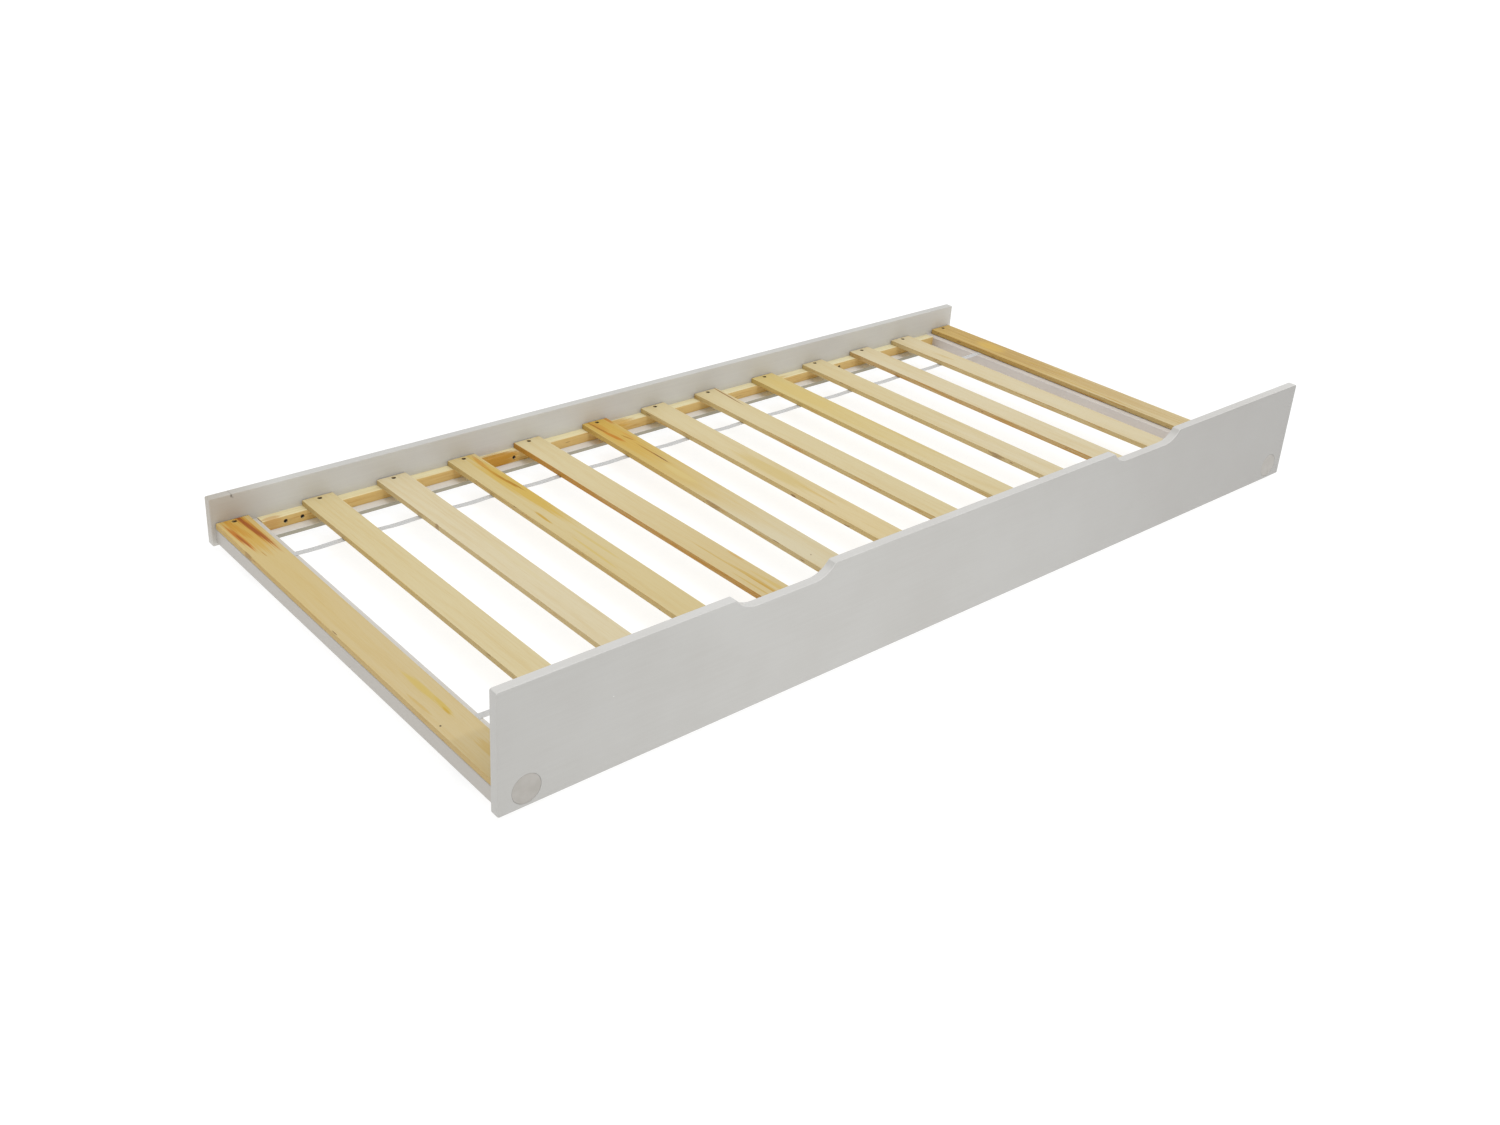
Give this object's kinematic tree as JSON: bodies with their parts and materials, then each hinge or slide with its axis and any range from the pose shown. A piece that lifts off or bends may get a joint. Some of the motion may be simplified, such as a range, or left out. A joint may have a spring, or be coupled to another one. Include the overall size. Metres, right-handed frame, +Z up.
{
  "type": "trundle bed",
  "caption": "Low slatted trundle bed on rollers: tall front panel with scooped hand cut-outs, low back panel, painted rails and bare pine slats.",
  "frame": {"origin": "on the floor, under the middle of the bed", "axes": "+X along the length to the right as seen from the front, +Y from the front panel to the back panel, +Z up"},
  "size_m": [1.95, 0.96, 0.217],
  "materials": {
    "front_panel_paint": "satin white paint on a planed board",
    "back_panel_paint": "satin white paint on a planed board",
    "rail_paint": "satin white paint",
    "ledger_paint": "satin white paint",
    "batten_pine": "bare planed pine",
    "end_slat_pine": "bare planed pine with heartwood streaks",
    "slat_pine": "bare planed pine",
    "tape_weave": "white woven polyester tape",
    "dark_screw": "dark phosphated steel",
    "zinc_screw": "zinc plated",
    "bolt_steel": "zinc plated",
    "staple_wire": "galvanised wire",
    "disc_plastic": "fine matt texture",
    "dowel_beech": "fluted beech",
    "bracket_steel": "zinc plated pressed sheet",
    "wheel_nylon": "dark grey nylon",
    "axle_steel": "zinc plated rivet"
  },
  "bodies": {
    "frame": {"axle_back_left": "axle_steel", "axle_back_right": "axle_steel", "axle_front_left": "axle_steel", "axle_front_right": "axle_steel", "back_panel": "back_panel_paint", "batten_back": "batten_pine", "batten_front": "batten_pine", "batten_screws": "dark_screw", "bracket_screws": "zinc_screw", "cover_disc_left": "disc_plastic", "cover_disc_right": "disc_plastic", "end_rail_left": "rail_paint", "end_rail_right": "rail_paint", "front_panel": "front_panel_paint", "ledger_back": "ledger_paint", "ledger_front": "ledger_paint", "ledger_screws": "zinc_screw", "rail_bolts": "bolt_steel", "rail_dowels": "dowel_beech", "slat_01": "slat_pine", "slat_02": "slat_pine", "slat_03": "slat_pine", "slat_04": "slat_pine", "slat_05": "slat_pine", "slat_06": "slat_pine", "slat_07": "slat_pine", "slat_08": "slat_pine", "slat_09": "slat_pine", "slat_10": "slat_pine", "slat_11": "slat_pine", "slat_end_left": "end_slat_pine", "slat_end_right": "end_slat_pine", "slat_screws": "dark_screw", "slat_tape_back": "tape_weave", "slat_tape_front": "tape_weave", "tape_staples": "staple_wire", "wheel_bracket_back_left": "bracket_steel", "wheel_bracket_back_right": "bracket_steel", "wheel_bracket_front_left": "bracket_steel", "wheel_bracket_front_right": "bracket_steel"},
    "roller_front_left": {"wheel_front_left": "wheel_nylon"},
    "roller_front_right": {"wheel_front_right": "wheel_nylon"},
    "roller_back_left": {"wheel_back_left": "wheel_nylon"},
    "roller_back_right": {"wheel_back_right": "wheel_nylon"}
  },
  "joints": [
    {"name": "roller_front_left_spin", "type": "hinge", "parent": "frame", "child": "roller_front_left", "pos_m": [-0.928, -0.35, 0.013], "axis": [1, 0, 0], "continuous": true},
    {"name": "roller_front_right_spin", "type": "hinge", "parent": "frame", "child": "roller_front_right", "pos_m": [0.928, -0.35, 0.013], "axis": [1, 0, 0], "continuous": true},
    {"name": "roller_back_left_spin", "type": "hinge", "parent": "frame", "child": "roller_back_left", "pos_m": [-0.928, 0.35, 0.013], "axis": [1, 0, 0], "continuous": true},
    {"name": "roller_back_right_spin", "type": "hinge", "parent": "frame", "child": "roller_back_right", "pos_m": [0.928, 0.35, 0.013], "axis": [1, 0, 0], "continuous": true}
  ]
}
